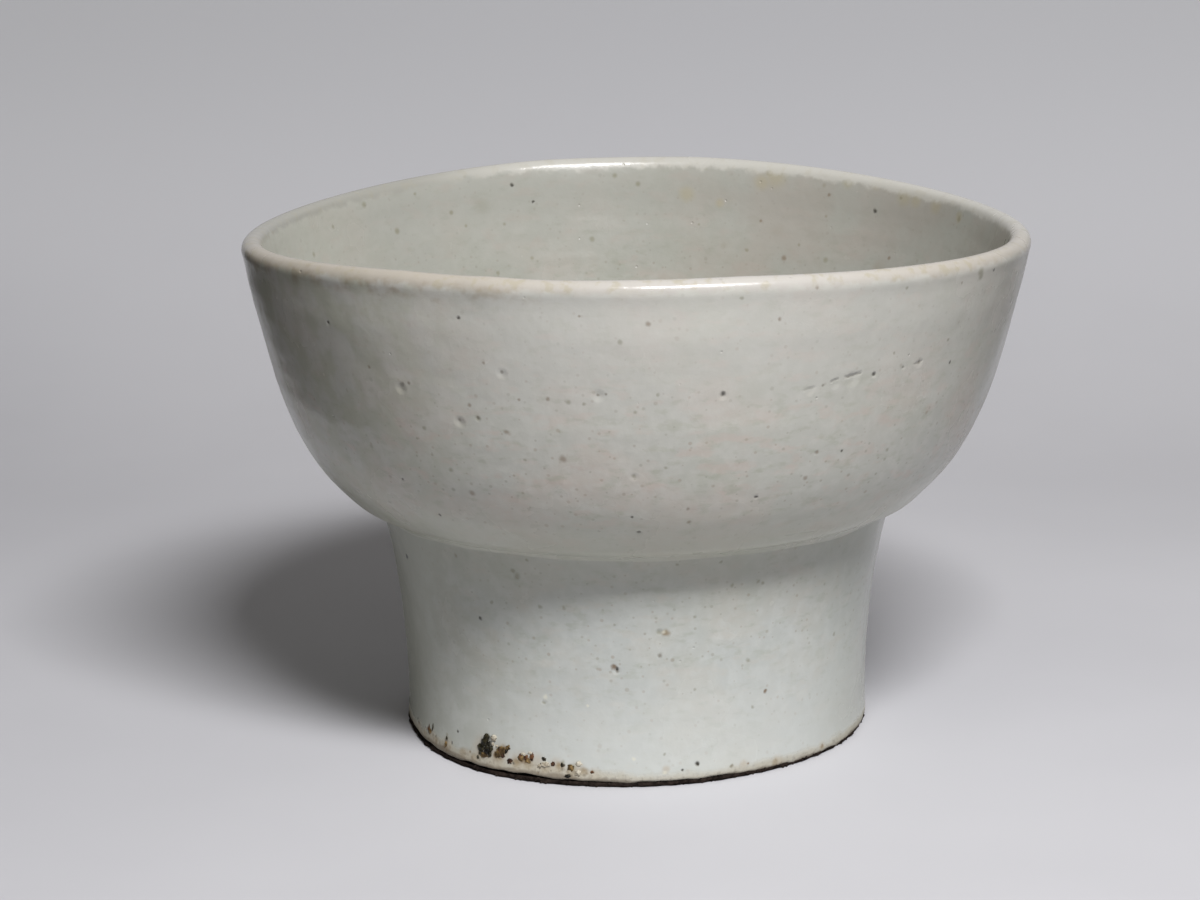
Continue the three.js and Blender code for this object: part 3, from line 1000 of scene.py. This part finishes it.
def slipGlaze():
    material, shader, here = startMaterial("slipGlaze")
    wrinkle = noiseAt(vectorCalc("MULTIPLY", here, slipWear["wrinkles"]), 1.0, 3.0)
    base = tint(seamTone(here), "bowlHaze", ramp(wrinkle, *slipWear["folds"]), slipWear["foldShare"])
    worked = times(wrinkle, slipWear["relief"])
    finishSkin(shader, base, *skinOf(here, 1.0, glazeGloss["slipRough"], worked))
    return material


# Sand and grit: a dark and a light tone, a roughness and a shine
crusts = {
    "sandCrust": (colour(.009, .0065, .0055), colour(.032, .023, .019), 0.95, 0.05),
    "sandGrains": (colour(.010, .007, .006), colour(.036, .026, .021), 0.9, 0.08),
    "paleGrit": (colour(.36, .31, .23), colour(.60, .56, .46), 0.55, 0.4),
    "darkGrit": (colour(.004, .0035, .002), colour(.045, .038, .016), 0.4, 0.3),
    "rustGrit": (colour(.03, .013, .007), colour(.14, .06, .024), 0.6, 0.3),
    "ochreGrit": (colour(.05, .03, .010), colour(.27, .175, .065), 0.6, 0.3),
}


crustGrain = {
    "grains": (1300.0, 3.0), "patches": (220.0, 2.0), "tones": (.38, .62), "uneven": .2, "relief": .25,
}


def crustMaterial(name, dark, light, roughness, shine):
    material, shader, here = startMaterial(name)
    plug(shader, "Specular IOR Level", shine)
    grains, patches = (noiseAt(here, *crustGrain[name]) for name in ("grains", "patches"))
    share = calc("MULTIPLY_ADD", patches, 0.5, times(grains, 0.5))
    rough = calc("MULTIPLY_ADD", grains, crustGrain["uneven"], roughness - crustGrain["uneven"] / 2)
    base = mixColour(ramp(share, *crustGrain["tones"]), dark, light)
    finishSkin(shader, base, rough, times(grains, crustGrain["relief"]))
    return material


def dress(piece, material):
    piece.data.materials.clear()
    piece.data.materials.append(material)


skins = {name: crustMaterial(name, *row) for name, row in crusts.items()}
for piece, material in ((bowl, bowlGlaze()), (foot, footGlaze()), (slip, slipGlaze()), (sand, skins["sandCrust"])):
    dress(piece, material)
print("materials made")


# Grit stuck to the foot: glassy black slag, pale chips, rusty and ochre crumbs. Each is a pixel across and
# down, and a width, a height and a thickness in millimetres
gritLumps = {
    "blackSlag": [
        (487, 737, .6, .65, .3), (485, 742, .65, .75, .36), (489, 744, .5, .5, .3), (482, 747, .8, .65, .3),
        (487, 750, .6, .75, .3), (491, 748, .42, .65, .25), (481, 752, .45, .5, .2), (490, 754, .4, .5, .2),
        (506, 751, .35, .4, .2), (544, 759, .38, .34, .15), (562, 765, .3, .38, .15), (568, 776, .55, .28, .15),
        (478, 757, .3, .3, .15), (433, 727, .22, .6, .15), (447, 738, .3, .25, .15),
    ],
    "ochreCrumb": [
        (502, 751, .95, .8, .2), (498, 754, .6, .6, .15), (508, 748, .4, .5, .15), (521, 758, .5, .6, .14),
        (528, 761, .5, .4, .15), (484, 755, .8, .42, .14), (571, 768, .6, .5, .12), (446, 744, .4, .55, .12),
        (430, 731, .5, .5, .12),
    ],
    "rustCrumb": [
        (510, 761, .5, .45, .2), (553, 764, .34, .34, .14), (526, 758, .42, .5, .16), (532, 757, .34, .7, .16),
        (520, 757, .24, .5, .16), (503, 756, .4, .3, .16), (500, 750, .3, .4, .24), (592, 772, .3, .25, .1),
        (429, 728, .26, .7, .16),
    ],
    "paleChip": [
        (494, 738, .6, .55, .35), (493, 744, .25, .3, .25), (545, 765, .8, .5, .25), (523, 754, .4, .22, .16),
        (530, 753, .4, .22, .16), (579, 764, .6, .38, .2), (578, 773, .55, .5, .25), (497, 746, .22, .2, .2),
        (540, 766, .4, .4, .2),
    ],
}
gritSkins = {"blackSlag": "darkGrit", "ochreCrumb": "ochreGrit", "rustCrumb": "rustGrit", "paleChip": "paleGrit"}


# The lumps' bumps: height, fineness and how each lump's are shifted
gritBumps = ((0.7, 1.9, (7.3, 0, 0)), (0.5, 4.1, (0, 5.1, 0)), (0.2, 9.0, (0, 0, 0)))


def growGrit(name, rows):
    shape = bmesh.new()
    for k, (*pixel, wide, tall, out) in enumerate(rows):
        wide, tall, out = wide * mm, tall * mm, out * mm
        place, normal = placeOf(footTree, pixel)
        sideways = upward.cross(normal).normalized()
        above = normal.cross(sideways)
        for vertex in bmesh.ops.create_icosphere(shape, subdivisions=3, radius=1.0)["verts"]:
            p = vertex.co.copy()
            bump = sum(high * noiseLib.noise(p * fine + Vector(shift) * k) for high, fine, shift in gritBumps)
            p *= max(1 + bump, 0.3)
            vertex.co = place + sideways * p.x * wide + above * p.y * tall + normal * (p.z * out)
    mesh = bpy.data.meshes.new(name)
    shape.to_mesh(mesh)
    shape.free()
    mesh.polygons.foreach_set("use_smooth", [True] * len(mesh.polygons))
    grit = addObject(name, mesh)
    dress(grit, skins[gritSkins[name]])
    return grit


lumps = [growGrit(name, rows) for name, rows in gritLumps.items()]
print("grit", len(lumps))


grainShape = {"roundness": 2, "bumps": (2600.0, 1.0), "bumpHeight": 0.3 * mm}


# Geometry nodes: sand grains strewn over the crust, pressed flat where the pot stands on them
def strewTree():
    inputs = {
        "Geometry": "Geometry", "Density": 1.0, "Smallest": 0.0002, "Largest": 0.0004, "Seed": 1, "Steepest": 2.0,
        "Table": 0.0, "Material": "Material",
    }
    tree, given, result = startGroup("GeometryNodeTree", "strewnSand", inputs, {"Geometry": "Geometry"})
    here = addNode(tree, "GeometryNodeInputPosition").outputs[0]
    normal = addNode(tree, "GeometryNodeInputNormal").outputs[0]
    # Only faces that look down more steeply than this carry grains
    points = addNode(tree, "GeometryNodeDistributePointsOnFaces", {"distribute_method": "RANDOM"},
                     Mesh=given["Geometry"], Density=given["Density"], Seed=given["Seed"],
                     Selection=calc("LESS_THAN", split(normal)["Z"], given["Steepest"]))
    grain = addNode(tree, "GeometryNodeMeshIcoSphere", Radius=1.0, Subdivisions=grainShape["roundness"])
    size = addNode(tree, "FunctionNodeRandomValue", {"data_type": "FLOAT"}, Seed=given["Seed"])
    plug(size, 2, given["Smallest"])
    plug(size, 3, given["Largest"])
    turn = addNode(tree, "FunctionNodeRandomValue", {"data_type": "FLOAT_VECTOR"}, Seed=given["Seed"])
    plug(turn, 1, (math.tau,) * 3)
    grains = addNode(tree, "GeometryNodeInstanceOnPoints", Points=points.outputs["Points"],
                     Instance=grain.outputs["Mesh"], Rotation=turn.outputs[0], Scale=size.outputs[1])
    grains = step(grains.outputs[0], "RealizeInstances")
    push = times(calc("SUBTRACT", noiseAt(here, *grainShape["bumps"]), 0.5), grainShape["bumpHeight"])
    grains = step(grains, "SetPosition", Offset=vectorCalc("SCALE", normal, Scale=push))
    spot = split(here)
    pressed = addNode(tree, "ShaderNodeCombineXYZ", X=spot["X"], Y=spot["Y"],
                      Z=calc("MAXIMUM", spot["Z"], given["Table"])).outputs[0]
    return dressResult(tree, result, step(grains, "SetPosition", Position=pressed), given["Material"])


# The crust itself is drawn up off the table, so that it stands on its grains
crustWear = {
    "wave": 0.054 * mm, "waves": ((3, 1, 0.6), (7, 0.7, 0), (17, 0.6, 2)), "grit": 0.09 * mm, "lift": 0.16 * mm,
    "liftWaves": ((53, 0.4, 0), (83, 0.4, 1)), "outer": 41 * mm, "blend": 3 * mm, "stand": 0.2 * mm,
    "edge": 43.2 * mm, "edgeBlend": 0.8 * mm,
}


def roughenCrust(places, normals, angle, radius):
    grit = np.sin(61 * angle + 900 * places[:, 2]) + wavesAt(angle, (97, 0.8, 2))
    outer = np.clip((radius - crustWear["outer"]) / crustWear["blend"], 0, 1)
    push = crustWear["wave"] * wavesAt(angle, *crustWear["waves"]) + crustWear["grit"] * grit
    push += (soleAt(angle, "out") + crustWear["stand"]) * outer
    places[:, :2] *= (1 + push / radius)[:, None]
    lift = crustWear["lift"] * (1 + wavesAt(angle, *crustWear["liftWaves"]))
    lift *= 1 - 0.8 * np.clip((radius - crustWear["edge"]) / crustWear["edgeBlend"], 0, 1)
    places[:, 2] = np.maximum(places[:, 2], lift)
    return places


sculpt(sand, roughenCrust)
strewn = strewTree()
grains = [runTree(addObject(name + "Carrier", sand.data.copy()), strewn, values, name) for name, values in (
    ("sandGrains", {
        "Density": 0.68e6, "Smallest": 0.13 * mm, "Largest": 0.28 * mm, "Seed": 4, "Material": skins["sandGrains"],
    }),
    ("paleSandGrains", {
        "Density": 0.1e6, "Smallest": 0.08 * mm, "Largest": 0.15 * mm, "Seed": 11, "Steepest": -0.95,
        "Material": skins["paleGrit"],
    }),
)]
print("sand strewn", [len(piece.data.polygons) for piece in grains])


# Every piece stands for its node, whose part is hidden, and rides on the root
for piece, node, slotName in (
    (bowl, "bowl", "bowl_glaze"), (foot, "foot_ring", "foot_glaze"), (slip, "luting_slip", "slip_glaze"),
    (sand, "kiln_sand", "sand_crust"),
):
    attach(piece, "root")
    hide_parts(node)
for piece in grains + lumps:
    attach(piece, "root")
print("pieces ride")


# Paper sweep: a floor that turns up into a backdrop behind, with a low black card standing at each side
sweep = {"front": -1.1, "turnFrom": 0.18, "radius": 0.4, "height": 0.9, "halfWidth": 0.45, "steps": 16}
# The paper is painted lighter further back, painted light, and darker up the backdrop, painted shade
paper = {
    "clouds": (colour(.562, .562, .588), colour(.592, .592, .618)), "behind": colour(.665, .67, .70),
    "up": colour(.56, .565, .588), "behindFrom": (0.2, 0.5), "upFrom": (0.02, 0.1), "cloudNoise": (9.0, 3.0),
    "cloudEdges": (0.3, 0.7), "rough": 0.8, "shine": 0.2,
}
cardFelt = {
    "noise": (400.0, 2.0), "tones": (colour(.02, .02, .02), colour(.035, .035, .035)), "rough": 0.9, "shine": 0.1,
}
# The cards thin out towards the floor, so that their shade on it has no hard edge
cards = {
    "blackCardLeft": {"near": (-0.085, -0.3), "far": (-0.215, 0.32), "height": 0.115, "fade": 30 * mm},
    "blackCardRight": {"near": (0.122, -0.3), "far": (0.215, 0.2), "height": 0.105, "fade": 12 * mm},
}


def buildSheet(name, points, faces, material):
    sheet = addMesh(name, points, [], faces, [True] * len(faces))
    dress(sheet, material)


# Two shaders mixed by a share, into the material's or the world's surface
def mixSurface(share, first, second, output):
    both = addNode(share.id_data, "ShaderNodeMixShader")
    for index, value in enumerate((share, first.outputs[0], second.outputs[0])):
        plug(both, index, value)
    plug(output, "Surface", both.outputs[0])


# Stage pieces that stand in another side's way are left out of that side's view, and keep their shade
def finishStage(shader, base, roughness, shine, hidden, always=0.0):
    tree = shader.id_data
    for name, value in (("Base Color", base), ("Roughness", roughness), ("Specular IOR Level", shine)):
        plug(shader, name, value)
    seen = addNode(tree, "ShaderNodeLightPath").outputs["Is Camera Ray"]
    share = calc("MAXIMUM", times(seen, hidden), always)
    mixSurface(share, shader, addNode(tree, "ShaderNodeBsdfTransparent"), tree.nodes["Material Output"])


def buildSweep():
    line = [(sweep["front"], 0.0), (sweep["turnFrom"], 0.0)]
    line += arc((sweep["turnFrom"], sweep["radius"]), sweep["radius"], -math.pi / 2, 0, sweep["steps"])[1:]
    line.append((sweep["turnFrom"] + sweep["radius"], sweep["height"]))
    points = [(side * sweep["halfWidth"], y, z) for y, z in line for side in (-1, 1)]
    faces = [(2 * k, 2 * k + 1, 2 * k + 3, 2 * k + 2) for k in range(len(line) - 1)]
    material, shader, here = startMaterial("palePaper")
    base = mixColour(ramp(noiseAt(here, *paper["cloudNoise"]), *paper["cloudEdges"]), *paper["clouds"])
    spot = split(here)
    # Lighter further back, painted light; darker going up, painted shade
    base = mixColour(ramp(spot["Y"], *paper["behindFrom"]), base, paper["behind"])
    base = mixColour(ramp(spot["Z"], *paper["upFrom"]), base, paper["up"])
    underside = addNode(here.id_data, "ShaderNodeNewGeometry").outputs["Backfacing"]
    finishStage(shader, base, paper["rough"], paper["shine"], underside)
    buildSheet("paperSweep", points, faces, material)


def buildCards():
    for name, row in cards.items():
        material, shader, here = startMaterial(name)
        base = mixColour(noiseAt(here, *cardFelt["noise"]), *cardFelt["tones"])
        thin = ramp(split(here)["Z"], row["fade"], 0.0)
        finishStage(shader, base, cardFelt["rough"], cardFelt["shine"], 1.0, thin)
        near, far = row["near"], row["far"]
        points = [(*near, 0), (*far, 0), (*far, row["height"]), (*near, row["height"])]
        buildSheet(name, points, [(0, 1, 2, 3)], material)


# Soft studio light: one long softbox, up in front and to the right, its right end lower than its left
softbox = {
    "turn": math.radians(18.9), "rise": math.radians(48.6), "distance": 1.0, "wide": 0.393, "tall": 0.158,
    "slant": math.radians(-16.1), "watts": 11.75, "tint": (1.0, .992, 1.0), "aim": 60 * mm,
}
# The studio's ceiling gives a little light, more from the left, and its walls none
worldLight = {
    "strength": 0.2, "tint": colour(1.0, .95, .85), "from": 0.35, "full": 0.75, "left": 1.35, "right": 0.65,
    "wall": colour(.12, .12, .125),
}


def buildSoftbox():
    turn, rise = softbox["turn"], softbox["rise"]
    direction = Vector((math.sin(turn) * math.cos(rise), -math.cos(turn) * math.cos(rise), math.sin(rise)))
    data = bpy.data.lights.new("softbox", "AREA")
    data.shape = "RECTANGLE"
    data.size, data.size_y = softbox["wide"], softbox["tall"]
    data.energy, data.color = softbox["watts"], softbox["tint"]
    lamp = addObject("softbox", data)
    lamp.location = upward * softbox["aim"] + direction * softbox["distance"]
    facing = direction.to_track_quat("Z", "Y") @ Quaternion((0, 0, 1), softbox["slant"])
    lamp.rotation_euler = facing.to_euler()


def buildWorld():
    world = bpy.data.worlds.new("studio")
    bpy.context.scene.world = world
    world.use_nodes = True
    tree = world.node_tree
    way = split(addNode(tree, "ShaderNodeTexCoord").outputs["Generated"])
    ceiling = ramp(way["Z"], worldLight["from"], worldLight["full"], 0.0, worldLight["strength"])
    background = tree.nodes["Background"]
    plug(background, "Color", worldLight["tint"])
    plug(background, "Strength", times(ceiling, ramp(way["X"], -0.6, 0.6, worldLight["left"], worldLight["right"])))
    # Past the paper's edges the camera sees a plain dim wall, and so does whatever shines
    wall = addNode(tree, "ShaderNodeBackground", Color=worldLight["wall"])
    rays = addNode(tree, "ShaderNodeLightPath").outputs
    seen = calc("MAXIMUM", rays["Is Camera Ray"], rays["Is Glossy Ray"])
    seen = calc("MAXIMUM", seen, rays["Is Transmission Ray"])
    mixSurface(seen, background, wall, tree.nodes["World Output"])


buildSweep()
buildCards()
buildSoftbox()
buildWorld()
bpy.context.scene.view_settings.view_transform = "Standard"
print("stage and light set")
